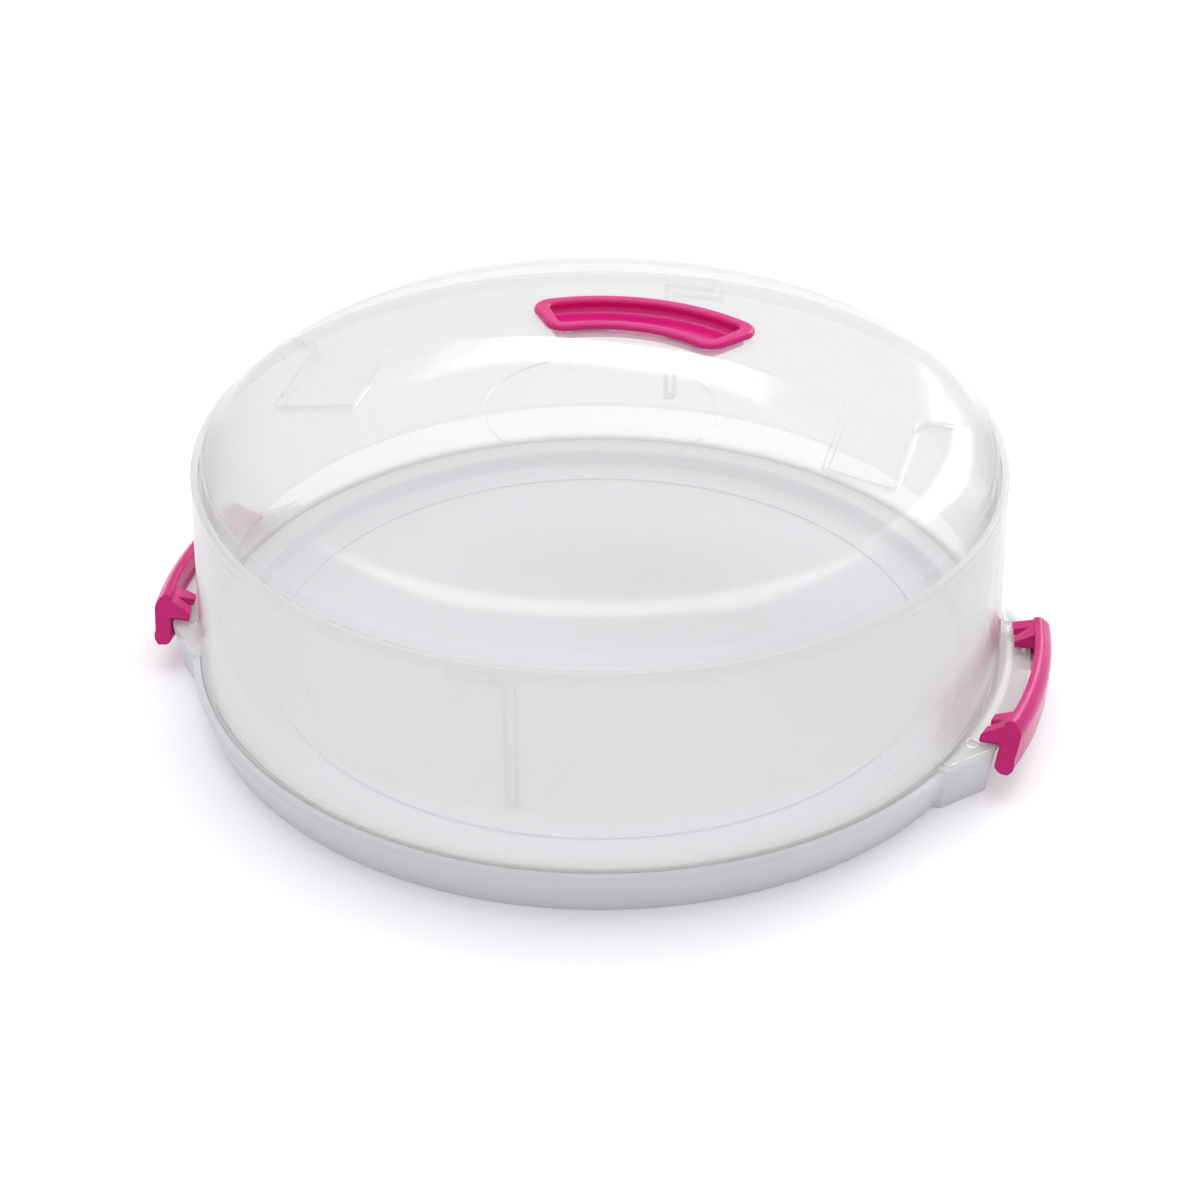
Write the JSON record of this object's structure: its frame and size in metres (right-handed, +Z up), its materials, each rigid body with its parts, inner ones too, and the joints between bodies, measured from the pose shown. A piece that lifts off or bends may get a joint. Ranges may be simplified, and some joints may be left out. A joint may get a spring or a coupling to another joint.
{
  "type": "cake carrier",
  "caption": "Round cake carrier with a white tray, a clear collar, a clear domed top that slides up for tall cakes, a top grip and hinged side clips that hold the lid down.",
  "frame": {"origin": "centre of the foot of the base, on the surface it stands on", "axes": "+Z up, +X through the right clip, +Y to the back, where the top grip sits"},
  "size_m": [0.377, 0.3415, 0.134],
  "materials": {
    "base_white": "satin white injection-moulded polypropylene",
    "collar_clear": "glossy clear injection-moulded polypropylene",
    "dome_clear": "glossy clear injection-moulded polypropylene",
    "grip_pink": "satin magenta-pink injection-moulded polypropylene",
    "clip_pink": "satin magenta-pink injection-moulded polypropylene"
  },
  "bodies": {
    "base": {"base_tray": "base_white"},
    "collar_ring": {"collar": "collar_clear"},
    "dome_top": {"dome": "dome_clear", "top_grip": "grip_pink"},
    "clip_right": {"right_clip": "clip_pink"},
    "clip_left": {"left_clip": "clip_pink"}
  },
  "joints": [
    {"name": "collar_lift", "type": "slide", "parent": "base", "child": "collar_ring", "axis": [0, 0, 1], "range_m": [0, 0.15]},
    {"name": "dome_raise", "type": "slide", "parent": "collar_ring", "child": "dome_top", "axis": [0, 0, 1], "range_m": [0, 0.052]},
    {"name": "right_clip_hinge", "type": "hinge", "parent": "base", "child": "clip_right", "pos_m": [0.1788, 0, 0.0157], "axis": [0, 1, 0], "range_deg": [0, 90]},
    {"name": "left_clip_hinge", "type": "hinge", "parent": "base", "child": "clip_left", "pos_m": [-0.1788, 0, 0.0157], "axis": [0, -1, 0], "range_deg": [0, 90]}
  ]
}
